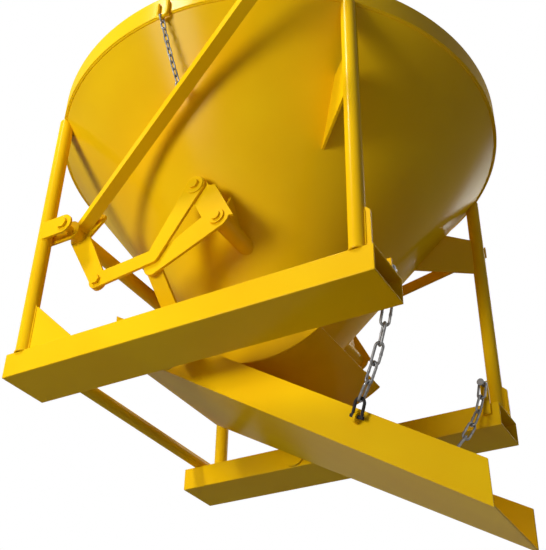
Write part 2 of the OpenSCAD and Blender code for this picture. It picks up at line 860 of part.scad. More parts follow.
module safety_chain() {
    top_bar = [rim_eye_x, -rim_eye_y, rim_eye_z - rim_eye_r];
    ring = lever_at + eye_along * lever_run + lever_h / 2 * lever_up;
    aim = unit(top_bar - ring);
    pull = unit((aim * lever_run) * lever_run + (aim * lever_up) * lever_up);
    low_bar = ring + eye_r * pull;
    run = unit(low_bar - top_bar);
    color(zinc) hung_chain(top_bar - (rim_eye_wire / 2 + face_gap) * run, low_bar + (eye_wire / 2 + face_gap) * run,
        safety_sag, safety_links, safety_wire, safety_inner_w, safety_end_w,
        [1, 0, 0], cross(pull, cross(lever_run, lever_up)));
}

hopper_shell();
outlet_collar();
rim_band();
front_fork_pocket();
rear_fork_pocket();
front_left_leg();
front_right_leg();
rear_left_leg();
rear_right_leg();
foot_gussets();
upper_gussets();
cross_tie();
rear_brace();
lifting_lugs();
front_lever_bracket();
rear_lever_bracket();
torque_tube();
lever_pivot_pins();
front_crank();
rear_crank();
crank_pins();
lever_bar();
lever_end_cap();
lever_eye();
front_connecting_rod();
rear_connecting_rod();
front_gate_bracket();
rear_gate_bracket();
gate_pivot_pins();
gate_pin_collars();
front_gate_arm();
rear_gate_arm();
gate_rod_pins();
gate_rod_washers();
gate_pan();
gate_side_plates();
gate_struts();
chute_floor();
chute_front_wall();
chute_rear_wall();
chute_bosses();
chute_hinge_brackets();
chute_hinge_pins();
chute_chain_lugs();
chute_shackles();
chain_tabs();
chain_bolts();
front_chute_chain();
rear_chute_chain();
rim_eye();
safety_chain();
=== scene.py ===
"""Looks of a crane-hung concrete bucket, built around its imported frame.

Every piece is in metres, in the frame's own axes: X along the fork pockets towards the discharge end,
Y away from the hand lever and Z up, with the origin at the centre of the base.
"""

import json
import logging
import math
from dataclasses import dataclass
from enum import Enum
from typing import Iterable, Sequence

import bmesh
import bpy
import numpy as np
from mathutils import Matrix, Vector

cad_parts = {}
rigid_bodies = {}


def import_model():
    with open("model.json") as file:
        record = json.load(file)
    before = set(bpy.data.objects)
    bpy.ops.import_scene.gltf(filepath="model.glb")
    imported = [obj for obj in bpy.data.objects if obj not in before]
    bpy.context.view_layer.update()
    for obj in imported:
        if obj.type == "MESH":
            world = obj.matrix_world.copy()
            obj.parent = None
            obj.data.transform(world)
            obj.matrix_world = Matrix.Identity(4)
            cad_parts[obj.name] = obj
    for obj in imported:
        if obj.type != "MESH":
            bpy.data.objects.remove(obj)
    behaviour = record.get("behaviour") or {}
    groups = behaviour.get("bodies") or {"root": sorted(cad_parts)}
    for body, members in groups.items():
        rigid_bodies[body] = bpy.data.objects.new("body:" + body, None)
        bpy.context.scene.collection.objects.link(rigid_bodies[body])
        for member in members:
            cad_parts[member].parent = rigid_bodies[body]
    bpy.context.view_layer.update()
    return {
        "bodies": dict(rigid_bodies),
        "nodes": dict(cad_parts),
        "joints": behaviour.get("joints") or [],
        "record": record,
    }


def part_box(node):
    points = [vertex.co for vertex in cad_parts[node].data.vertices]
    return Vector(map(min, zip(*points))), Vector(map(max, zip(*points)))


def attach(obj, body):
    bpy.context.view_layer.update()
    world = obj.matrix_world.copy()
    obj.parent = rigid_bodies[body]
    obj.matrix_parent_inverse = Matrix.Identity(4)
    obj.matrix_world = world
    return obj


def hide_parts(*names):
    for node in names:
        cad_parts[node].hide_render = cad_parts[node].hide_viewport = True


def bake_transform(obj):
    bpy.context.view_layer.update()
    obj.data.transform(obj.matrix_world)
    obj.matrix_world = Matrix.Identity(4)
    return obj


LOG = logging.getLogger("concrete_bucket")
JOIN_DISTANCE = 1e-6
WHITE = (1.0, 1.0, 1.0, 1.0)
Colour = tuple[float, float, float]


class Body(Enum):
    """The rigid bodies that pieces ride on."""

    FRAME = "frame"
    LEVER = "lever"
    RODS = "connecting_rods"
    GATE = "gate"
    CHUTE = "chute"
    SAFETY_CHAIN = "safety_chain"


class Slot(Enum):
    """The record's material slots."""

    PAINT = "yellow_paint"
    ZINC = "zinc_steel"
    DARK = "dark_steel"


class NodeBench:
    """A small bench for wiring one material's shader nodes."""

    def __init__(self, name: str) -> None:
        """Makes an empty material.

        Args:
            name: The material's name.
        """
        self.material = bpy.data.materials.new(name)
        self.material.use_nodes = True
        self.tree = self.material.node_tree
        self.tree.nodes.clear()
        self.output = self.tree.nodes.new("ShaderNodeOutputMaterial")
        self.shader = self.tree.nodes.new("ShaderNodeBsdfPrincipled")
        self.tree.links.new(self.shader.outputs["BSDF"], self.output.inputs["Surface"])
        self.place = self.tree.nodes.new("ShaderNodeTexCoord").outputs["Object"]

    def noise(self, scale: float, detail: float = 3.0, rough: float = 0.5) -> bpy.types.NodeSocket:
        """Adds a noise pattern on Object coordinates.

        Args:
            scale: Cells per metre.
            detail: Octaves of the pattern.
            rough: How strong the finer octaves are.

        Returns:
            The pattern's value socket.
        """
        node = self.tree.nodes.new("ShaderNodeTexNoise")
        node.inputs["Scale"].default_value = scale
        node.inputs["Detail"].default_value = detail
        node.inputs["Roughness"].default_value = rough
        self.tree.links.new(self.place, node.inputs["Vector"])
        return node.outputs["Fac"]

    def spread(self, value: bpy.types.NodeSocket, low: float, high: float,
               start: float = 0.35, end: float = 0.65) -> bpy.types.NodeSocket:
        """Maps a pattern onto a range.

        Args:
            value: The pattern.
            low: Result at the start of the pattern's range.
            high: Result at its end.
            start: Pattern value that gives low.
            end: Pattern value that gives high.

        Returns:
            The mapped socket.
        """
        node = self.tree.nodes.new("ShaderNodeMapRange")
        node.inputs["From Min"].default_value = start
        node.inputs["From Max"].default_value = end
        node.inputs["To Min"].default_value = low
        node.inputs["To Max"].default_value = high
        self.tree.links.new(value, node.inputs["Value"])
        return node.outputs["Result"]

    def mix(self, share: bpy.types.NodeSocket, first: Colour | bpy.types.NodeSocket,
            second: Colour | bpy.types.NodeSocket) -> bpy.types.NodeSocket:
        """Mixes two colours by a share.

        Args:
            share: 0 gives the first colour, 1 the second.
            first: A colour, or a socket that gives one.
            second: A colour, or a socket that gives one.

        Returns:
            The mixed colour's socket.
        """
        node = self.tree.nodes.new("ShaderNodeMix")
        node.data_type = "RGBA"
        self.tree.links.new(share, node.inputs["Factor"])
        for key, given in (("A", first), ("B", second)):
            socket = next(s for s in node.inputs if s.name == key and s.type == "RGBA")
            if isinstance(given, tuple):
                socket.default_value = (*given, 1.0)
            else:
                self.tree.links.new(given, socket)
        return next(s for s in node.outputs if s.type == "RGBA")

    def bump(self, height: bpy.types.NodeSocket, distance: float, strength: float) -> None:
        """Bends the shader's normal by a height pattern.

        Args:
            height: The pattern.
            distance: Its depth in metres.
            strength: Share of that depth that shows.
        """
        node = self.tree.nodes.new("ShaderNodeBump")
        node.inputs["Distance"].default_value = distance
        node.inputs["Strength"].default_value = strength
        self.tree.links.new(height, node.inputs["Height"])
        self.tree.links.new(node.outputs["Normal"], self.shader.inputs["Normal"])

    def feed(self, name: str, value: bpy.types.NodeSocket) -> None:
        """Links a socket to one of the shader's inputs."""
        self.tree.links.new(value, self.shader.inputs[name])

    def fix(self, **values: float) -> None:
        """Sets shader inputs that are the same all over; underscores stand for spaces."""
        for key, value in values.items():
            self.shader.inputs[key.replace("_", " ")].default_value = value


def seen_ray(tree: bpy.types.NodeTree) -> bpy.types.NodeSocket:
    """Tells the rays that show a backdrop from those that light the object.

    Args:
        tree: The node tree that gets the test.

    Returns:
        A socket that is 1 for a straight, mirrored or refracted view of it and 0 for any other ray.
    """
    path = tree.nodes.new("ShaderNodeLightPath")
    mirrored = tree.nodes.new("ShaderNodeMath")
    mirrored.operation = "MAXIMUM"
    seen = tree.nodes.new("ShaderNodeMath")
    seen.operation = "MAXIMUM"
    tree.links.new(path.outputs["Is Camera Ray"], mirrored.inputs[0])
    tree.links.new(path.outputs["Is Glossy Ray"], mirrored.inputs[1])
    tree.links.new(mirrored.outputs[0], seen.inputs[0])
    tree.links.new(path.outputs["Is Transmission Ray"], seen.inputs[1])
    return seen.outputs[0]


@dataclass(frozen=True)
class EnamelFinish:
    """Sprayed machine enamel: slow colour drift, orange peel and a clear gloss."""

    name: str
    colour: Colour
    deep: Colour
    gloss_low: float = 0.2
    gloss_high: float = 0.32
    drift_cells: float = 2.2
    gloss_cells: float = 28.0
    peel_cells: float = 260.0
    peel_detail: float = 2.0
    peel_depth: float = 0.0006
    peel_share: float = 0.12
    gloss_level: float = 0.0
    coat: float = 0.12
    coat_roughness: float = 0.2

    def material(self) -> bpy.types.Material:
        """Wires the enamel.

        Returns:
            The finished material.
        """
        bench = NodeBench(self.name)
        drift = bench.spread(bench.noise(self.drift_cells), 0.0, 1.0)
        bench.feed("Base Color", bench.mix(drift, self.colour, self.deep))
        bench.feed("Roughness", bench.spread(bench.noise(self.gloss_cells), self.gloss_low, self.gloss_high))
        bench.bump(bench.noise(self.peel_cells, self.peel_detail), self.peel_depth, self.peel_share)
        bench.fix(Specular_IOR_Level=self.gloss_level, Coat_Weight=self.coat,
                  Coat_Roughness=self.coat_roughness)
        return bench.material


@dataclass(frozen=True)
class GalvanisedFinish:
    """Zinc on steel: cloudy grey with a dull metal gloss and small pits."""

    name: str
    bright: Colour
    dull: Colour
    cloud_cells: float = 60.0
    cloud_detail: float = 4.0
    cloud_rough: float = 0.6
    pit_cells: float = 600.0
    pit_detail: float = 2.0
    pit_depth: float = 0.0004
    pit_share: float = 0.25
    gloss_low: float = 0.3
    gloss_high: float = 0.52
    metal: float = 0.9

    def material(self) -> bpy.types.Material:
        """Wires the zinc.

        Returns:
            The finished material.
        """
        bench = NodeBench(self.name)
        cloud = bench.noise(self.cloud_cells, self.cloud_detail, self.cloud_rough)
        bench.feed("Base Color", bench.mix(bench.spread(cloud, 0.0, 1.0), self.bright, self.dull))
        bench.feed("Roughness", bench.spread(cloud, self.gloss_low, self.gloss_high))
        bench.bump(bench.noise(self.pit_cells, self.pit_detail), self.pit_depth, self.pit_share)
        bench.fix(Metallic=self.metal)
        return bench.material


@dataclass(frozen=True)
class FloorFinish:
    """A plain pale studio floor with a faint mottle, which looks paler than the light it gives back."""

    name: str
    colour: Colour
    shade: Colour
    bounce: Colour
    cells: float = 1.5
    roughness: float = 0.7
    paleness: float = 0.95
    pale_share: float = 0.35

    def material(self) -> bpy.types.Material:
        """Wires the floor.

        Returns:
            The finished material.
        """
        bench = NodeBench(self.name)
        seen = seen_ray(bench.tree)
        mottle = bench.mix(bench.noise(self.cells), self.colour, self.shade)
        bench.feed("Base Color", bench.mix(seen, self.bounce, mottle))
        bench.fix(Roughness=self.roughness)
        pale = bench.tree.nodes.new("ShaderNodeEmission")
        pale.inputs["Strength"].default_value = self.paleness
        share = bench.tree.nodes.new("ShaderNodeMath")
        share.operation = "MULTIPLY"
        share.inputs[1].default_value = self.pale_share
        bench.tree.links.new(seen, share.inputs[0])
        blend = bench.tree.nodes.new("ShaderNodeMixShader")
        bench.tree.links.new(share.outputs[0], blend.inputs["Fac"])
        bench.tree.links.new(bench.shader.outputs["BSDF"], blend.inputs[1])
        bench.tree.links.new(pale.outputs["Emission"], blend.inputs[2])
        bench.tree.links.new(blend.outputs["Shader"], bench.output.inputs["Surface"])
        return bench.material


PAINT = EnamelFinish("golden yellow enamel", (0.86, 0.53, 0.004), (0.81, 0.46, 0.003))
ZINC = GalvanisedFinish("galvanised steel", (0.26, 0.255, 0.25), (0.14, 0.137, 0.135))
DARK = EnamelFinish("dark shackle paint", (0.055, 0.05, 0.048), (0.03, 0.028, 0.027),
                    gloss_low=0.35, gloss_high=0.5, coat=0.0)
FLOOR = FloorFinish("pale floor", (0.93, 0.93, 0.93), (0.9, 0.9, 0.9), (0.2, 0.2, 0.2))


class Assembler:
    """Holds the frame and the finishes, and sets each finished piece on its body."""

    smooth_angle: float = math.radians(38.0)
    sharp_angle: float = math.radians(30.0)
    flat_angle: float = math.radians(0.4)
    normal_weight: int = 80

    def __init__(self, frame: dict) -> None:
        """Makes the materials.
        """
        self.nodes: dict[str, bpy.types.Object] = frame["nodes"]
        self.materials: dict[Slot, bpy.types.Material] = {
            Slot.PAINT: PAINT.material(), Slot.ZINC: ZINC.material(), Slot.DARK: DARK.material()}

    def add(self, bm: bmesh.types.BMesh, name: str, body: Body | None, slot: Slot,
            replaces: Sequence[str] = ()) -> bpy.types.Object:
        """Makes a finished piece of a bmesh, and frees the bmesh.

        Args:
            bm: The piece's mesh, in place.
            name: The piece's name.
            body: The body that it rides on, or None for a piece that rides on none.
            slot: Its material slot.
            replaces: CAD nodes that it stands for.

        Returns:
            The new object.
        """
        mesh = bpy.data.meshes.new(name)
        bm.to_mesh(mesh)
        bm.free()
        mesh.shade_smooth()
        mesh.set_sharp_from_angle(angle=self.smooth_angle)
        mesh.materials.append(self.materials[slot])
        piece = bpy.data.objects.new(name, mesh)
        bpy.context.scene.collection.objects.link(piece)
        if body is not None:
            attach(piece, body.value)
        even = piece.modifiers.new("even_normals", "WEIGHTED_NORMAL")
        even.keep_sharp = True
        even.weight = self.normal_weight
        if replaces:
            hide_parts(*replaces)
        LOG.info("%s: %d faces", name, len(mesh.polygons))
        return piece

    def merged(self, node: str) -> bmesh.types.BMesh:
        """Copies a CAD node's mesh, with its loose triangles joined and its flats made whole.

        Args:
            node: The node's name.

        Returns:
            The copy as a bmesh.
        """
        bm = bmesh.new()
        bm.from_mesh(self.nodes[node].data)
        bmesh.ops.remove_doubles(bm, verts=bm.verts, dist=JOIN_DISTANCE)
        bmesh.ops.dissolve_limit(bm, angle_limit=self.flat_angle, verts=bm.verts, edges=bm.edges)
        return bm

    def ease_edges(self, bm: bmesh.types.BMesh, width: float, segments: int = 2) -> None:
        """Rounds every sharp edge of a mesh.

        Args:
            bm: The mesh.
            width: Size of the rounding.
            segments: Faces across it.
        """
        sharp = [e for e in bm.edges if e.is_manifold and e.calc_face_angle(0.0) > self.sharp_angle]
        bmesh.ops.bevel(bm, geom=sharp, offset=width, offset_type="OFFSET", affect="EDGES", segments=segments,
                        profile=0.5, material=-1, clamp_overlap=True)

    def soften(self, node: str, body: Body, slot: Slot, edge: float) -> bpy.types.Object:
        """Stands a copy of a CAD node with eased edges in for the node.

        Args:
            node: The node's name.
            body: The body that it rides on.
            slot: Its material slot.
            edge: Size of the rounded edges, or 0 for edges left as they were cut.

        Returns:
            The new object.
        """
        bm = self.merged(node)
        if edge > 0.0:
            self.ease_edges(bm, edge)
        return self.add(bm, f"{node}_finished", body, slot, [node])


def spun(profile: Iterable[tuple[float, float]], segments: int, closed: bool = True) -> bmesh.types.BMesh:
    """Turns an outline about the Z axis.

    Args:
        profile: Radius and height of each corner, in order.
        segments: Faces round the turn.
        closed: Whether the outline's last corner joins its first.

    Returns:
        The turned mesh.
    """
    bm = bmesh.new()
    corners = [bm.verts.new((r, 0.0, z)) for r, z in profile]
    last = len(corners) if closed else len(corners) - 1
    for i in range(last):
        bm.edges.new((corners[i], corners[(i + 1) % len(corners)]))
    bmesh.ops.spin(bm, geom=bm.verts[:] + bm.edges[:], cent=(0, 0, 0), axis=(0, 0, 1), dvec=(0, 0, 0),
                   angle=math.tau, steps=segments, use_merge=True)
    bmesh.ops.remove_doubles(bm, verts=bm.verts, dist=JOIN_DISTANCE)
    bmesh.ops.recalc_face_normals(bm, faces=bm.faces)
    return bm


@dataclass(frozen=True)
class WeldBead:
    """A fillet weld: a ridge of overlapping ripples."""

    radius: float = 0.0035
    ripple: float = 0.0045
    pinch: float = 0.86
    sides: int = 8
    fewest_round: int = 24
    fewest_along: int = 4

    def ring(self, bm: bmesh.types.BMesh, place: Matrix, radius: float) -> None:
        """Adds a bead round a circle.

        Args:
            bm: The mesh that gets it.
            place: Where the circle is: its plane is the place's XY plane.
            radius: The circle's radius.
        """
        steps = max(self.fewest_round, 2 * round(math.pi * radius / self.ripple))
        start = Matrix.Translation((radius, 0, 0)) @ Matrix.Rotation(math.pi / 2, 4, "X")
        made = bmesh.ops.create_circle(bm, cap_ends=False, radius=self.radius, segments=self.sides,
                                       matrix=start)
        edges = list({e for v in made["verts"] for e in v.link_edges})
        before = set(bm.verts) - set(made["verts"])
        bmesh.ops.spin(bm, geom=made["verts"] + edges, cent=(0, 0, 0), axis=(0, 0, 1), dvec=(0, 0, 0),
                       angle=math.tau, steps=steps, use_merge=True)
        verts = [v for v in bm.verts if v not in before]
        bmesh.ops.remove_doubles(bm, verts=verts, dist=JOIN_DISTANCE)
        verts = [v for v in bm.verts if v not in before]
        for v in verts:
            turn = math.atan2(v.co.y, v.co.x) / math.tau * steps
            if round(turn) % 2:
                core = Vector((v.co.x, v.co.y, 0)).normalized() * radius
                v.co = core + (v.co - core) * self.pinch
        bmesh.ops.transform(bm, matrix=place, verts=verts)

    def line(self, bm: bmesh.types.BMesh, start: Vector, end: Vector) -> None:
        """Adds a bead along a straight joint.

        Args:
            bm: The mesh that gets it.
            start: One end of the joint.
            end: The other end.
        """
        before = set(bm.faces)
        run = end - start
        steps = max(self.fewest_along, round(run.length / self.ripple))
        turn = run.to_track_quat("Z", "Y").to_matrix().to_4x4()
        made = bmesh.ops.create_circle(bm, cap_ends=True, radius=self.radius * self.pinch,
                                       segments=self.sides, matrix=Matrix.Translation(start) @ turn)
        ring = list({e for v in made["verts"] for e in v.link_edges})
        for i in range(1, steps + 1):
            grown = bmesh.ops.extrude_edge_only(bm, edges=ring)["geom"]
            verts = [g for g in grown if isinstance(g, bmesh.types.BMVert)]
            ring = [g for g in grown if isinstance(g, bmesh.types.BMEdge)
                    and all(v in verts for v in g.verts)]
            bmesh.ops.translate(bm, verts=verts, vec=run / steps)
            scale = 1.0 / self.pinch if i % 2 else self.pinch
            core = start + run * (i / steps)
            bmesh.ops.scale(bm, verts=verts, vec=(scale,) * 3, space=Matrix.Translation(-core))
        bmesh.ops.contextual_create(bm, geom=ring)
        bmesh.ops.recalc_face_normals(bm, faces=[f for f in bm.faces if f not in before])


@dataclass
class Hopper:
    """The cone with its straight top, the outlet collar and the rim band."""

    wall: float = 0.006
    segments: int = 192
    rim_edge: float = 0.003
    rim_steps: int = 3
    shell_edge: float = 0.0015
    seam_radius: float = 0.004

    def build(self, shop: Assembler) -> None:
        """Builds and sets the hopper's pieces.

        Args:
            shop: The assembler.
        """
        low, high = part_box("hopper_shell")
        rim_low, rim_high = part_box("rim_band")
        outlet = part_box("outlet_collar")[1].x
        self.shell(shop, outlet, high.x, low.z, rim_low.z, high.z)
        self.rim(shop, high.x, rim_high.x, rim_low.z, rim_high.z)
        shop.soften("outlet_collar", Body.FRAME, Slot.PAINT, self.shell_edge)
        self.seams(shop, outlet, high.x, low.z, rim_low.z)

    def shell(self, shop: Assembler, outlet: float, radius: float, low: float, knee: float,
              top: float) -> None:
        """Spins the cone and its straight top.

        Args:
            shop: The assembler.
            outlet: Outside radius at the outlet.
            radius: Outside radius at the top.
            low: Height of the outlet end.
            knee: Height where the cone meets the straight part.
            top: Height of the upper edge.
        """
        slope = (radius - outlet) / (knee - low)
        across = self.wall * math.hypot(1.0, slope)
        inner_knee = knee + (across - self.wall) / slope
        bm = spun([(outlet, low), (radius, knee), (radius, top), (radius - self.wall, top),
                   (radius - self.wall, inner_knee), (outlet - across, low)], self.segments)
        shop.add(bm, "hopper_shell_finished", Body.FRAME, Slot.PAINT, ["hopper_shell"])

    def rim(self, shop: Assembler, inner: float, outer: float, low: float, top: float) -> None:
        """Spins the rim band with rounded edges.

        Args:
            shop: The assembler.
            inner: Inside radius.
            outer: Outside radius.
            low: Height of the lower edge.
            top: Height of the upper edge.
        """
        bm = spun([(inner, low), (outer, low), (outer, top), (inner, top)], self.segments)
        shop.ease_edges(bm, self.rim_edge, self.rim_steps)
        shop.add(bm, "rim_band_finished", Body.FRAME, Slot.PAINT, ["rim_band"])

    def seams(self, shop: Assembler, outlet: float, radius: float, low: float, knee: float) -> None:
        """Adds the weld seams of the shell: under the rim, at the collar and along the cone's own joint.

        Args:
            shop: The assembler.
            outlet: Outside radius at the outlet.
            radius: Outside radius at the top.
            low: Height of the outlet end.
            knee: Height of the rim's lower edge.
        """
        bm = bmesh.new()
        bead = WeldBead(radius=self.seam_radius)
        bead.ring(bm, Matrix.Translation((0, 0, knee)), radius)
        bead.ring(bm, Matrix.Translation((0, 0, low)), outlet)
        bead.line(bm, Vector((0, outlet, low)), Vector((0, radius, knee)))
        shop.add(bm, "hopper_weld_seams", Body.FRAME, Slot.PAINT)


@dataclass(frozen=True)
class FootPlate:
    """Where a gusset is welded to a leg and its pocket: to which side, how far out and how high."""

    leg: str
    way: float
    reach: float
    rise: float


@dataclass
class BaseFrame:
    """Fork pockets, legs, gussets, tie, brace and lifting lugs."""

    tube_edge: float = 0.0025
    plate_edge: float = 0.0012
    round_edge: float = 0.0008
    cut_edge: float = 0.0
    pockets: tuple[str, ...] = ("front_fork_pocket", "rear_fork_pocket")
    legs: tuple[str, ...] = ("front_left_leg", "front_right_leg", "rear_left_leg", "rear_right_leg")
    plates: tuple[str, ...] = ("foot_gussets", "rear_brace", "lifting_lugs", "chain_tabs",
                               "chute_hinge_brackets", "front_lever_bracket", "rear_lever_bracket",
                               "front_gate_bracket", "rear_gate_bracket")
    rounds: tuple[str, ...] = ("cross_tie", "rim_eye", "gate_pivot_pins", "gate_pin_collars",
                               "chute_hinge_pins")
    gusset_half: float = 0.004
    foot_plates: tuple[FootPlate, ...] = (
        FootPlate("front_left_leg", 1.0, 0.170, 0.160), FootPlate("front_right_leg", 1.0, 0.0158, 0.117),
        FootPlate("rear_right_leg", 1.0, 0.0158, 0.117), FootPlate("rear_right_leg", -1.0, 0.0158, 0.117))

    def build(self, shop: Assembler) -> None:
        """Builds and sets the base frame's pieces.

        Args:
            shop: The assembler.
        """
        for node in self.pockets:
            shop.soften(node, Body.FRAME, Slot.PAINT, self.tube_edge)
        for node in self.plates:
            shop.soften(node, Body.FRAME, Slot.PAINT, self.plate_edge)
        for node in self.legs + self.rounds:
            shop.soften(node, Body.FRAME, Slot.PAINT, self.round_edge)
        shop.soften("upper_gussets", Body.FRAME, Slot.PAINT, self.cut_edge)
        shop.soften("chain_bolts", Body.FRAME, Slot.ZINC, self.round_edge)
        self.welds(shop)

    def welds(self, shop: Assembler) -> None:
        """Adds weld beads round the feet of the legs and along their gussets.

        Args:
            shop: The assembler.
        """
        bm = bmesh.new()
        bead = WeldBead()
        for node in self.legs:
            low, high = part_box(node)
            centre = (low + high) / 2
            bead.ring(bm, Matrix.Translation((centre.x, centre.y, low.z)), (high.x - low.x) / 2)
        for plate in self.foot_plates:
            low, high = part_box(plate.leg)
            centre = (low + high) / 2
            side = centre.x + plate.way * (high.x - low.x) / 2
            for face in (-self.gusset_half, self.gusset_half):
                root = Vector((side, centre.y + face, low.z))
                bead.line(bm, root, root + Vector((plate.way * plate.reach, 0, 0)))
                bead.line(bm, root, root + Vector((0, 0, plate.rise)))
        shop.add(bm, "leg_welds", Body.FRAME, Slot.PAINT)


@dataclass
class LeverGear:
    """Torque tube, cranks, hand lever, its eye and the connecting rods."""

    plate_edge: float = 0.0015
    bar_edge: float = 0.003
    round_edge: float = 0.0008

    def build(self, shop: Assembler) -> None:
        """Builds and sets the lever gear's pieces.

        Args:
            shop: The assembler.
        """
        for node in ("front_crank", "rear_crank"):
            shop.soften(node, Body.LEVER, Slot.PAINT, self.plate_edge)
        for node in ("front_connecting_rod", "rear_connecting_rod"):
            shop.soften(node, Body.RODS, Slot.PAINT, self.plate_edge)
        for node in ("torque_tube", "lever_eye", "lever_pivot_pins", "crank_pins"):
            shop.soften(node, Body.LEVER, Slot.PAINT, self.round_edge)
        shop.soften("lever_bar", Body.LEVER, Slot.PAINT, self.bar_edge)
        shop.soften("lever_end_cap", Body.LEVER, Slot.DARK, self.round_edge)
        self.welds(shop)

    def welds(self, shop: Assembler) -> None:
        """Adds weld beads where the cranks sit on the torque tube.

        Args:
            shop: The assembler.
        """
        bm = bmesh.new()
        bead = WeldBead()
        low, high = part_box("torque_tube")
        centre = (low + high) / 2
        across = Matrix.Rotation(math.pi / 2, 4, "X")
        for node in ("front_crank", "rear_crank"):
            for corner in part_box(node):
                place = Matrix.Translation((centre.x, corner.y, centre.z)) @ across
                bead.ring(bm, place, (high.x - low.x) / 2)
        shop.add(bm, "crank_welds", Body.LEVER, Slot.PAINT)


@dataclass
class GateGear:
    """The gate pan with its side plates, struts, arms and pins."""

    plate_edge: float = 0.0015
    round_edge: float = 0.0008

    def build(self, shop: Assembler) -> None:
        """Builds and sets the gate's pieces.

        Args:
            shop: The assembler.
        """
        for node in ("front_gate_arm", "rear_gate_arm", "gate_pan", "gate_side_plates"):
            shop.soften(node, Body.GATE, Slot.PAINT, self.plate_edge)
        for node in ("gate_struts", "gate_rod_pins", "gate_rod_washers"):
            shop.soften(node, Body.GATE, Slot.PAINT, self.round_edge)


@dataclass
class Chute:
    """The trough, its hinge bosses, chain lugs and shackles."""

    plate_edge: float = 0.0015
    round_edge: float = 0.0008
    weld_inset: float = 0.012

    def build(self, shop: Assembler) -> None:
        """Builds and sets the chute's pieces.

        Args:
            shop: The assembler.
        """
        for node in ("chute_floor", "chute_front_wall", "chute_rear_wall", "chute_chain_lugs"):
            shop.soften(node, Body.CHUTE, Slot.PAINT, self.plate_edge)
        shop.soften("chute_bosses", Body.CHUTE, Slot.PAINT, self.round_edge)
        shop.soften("chute_shackles", Body.CHUTE, Slot.DARK, self.round_edge)
        self.welds(shop)

    def welds(self, shop: Assembler) -> None:
        """Adds a weld bead along the foot of each wall, inside the trough.

        Args:
            shop: The assembler.
        """
        bm = bmesh.new()
        bead = WeldBead()
        for node in ("chute_front_wall", "chute_rear_wall"):
            start, end = self.wall_foot(shop, node)
            bead.line(bm, start, end)
        shop.add(bm, "chute_welds", Body.CHUTE, Slot.PAINT)

    def wall_foot(self, shop: Assembler, node: str) -> tuple[Vector, Vector]:
        """Finds the lower inner edge of a chute wall.

        Args:
            shop: The assembler.
            node: The wall's name.

        Returns:
            The edge's upper and lower ends, a little inside the wall's own ends.
        """
        bm = shop.merged(node)
        side = 1.0 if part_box(node)[0].y < 0 else -1.0
        long_edges = sorted(bm.edges, key=lambda e: -e.calc_length())[:4]
        inner = sorted(long_edges, key=lambda e: side * (e.verts[0].co.y + e.verts[1].co.y))[2:]
        foot = min(inner, key=lambda e: e.verts[0].co.z + e.verts[1].co.z)
        ends = sorted((v.co.copy() for v in foot.verts), key=lambda c: -c.z)
        bm.free()
        run = (ends[1] - ends[0]).normalized() * self.weld_inset
        return ends[0] + run, ends[1] - run


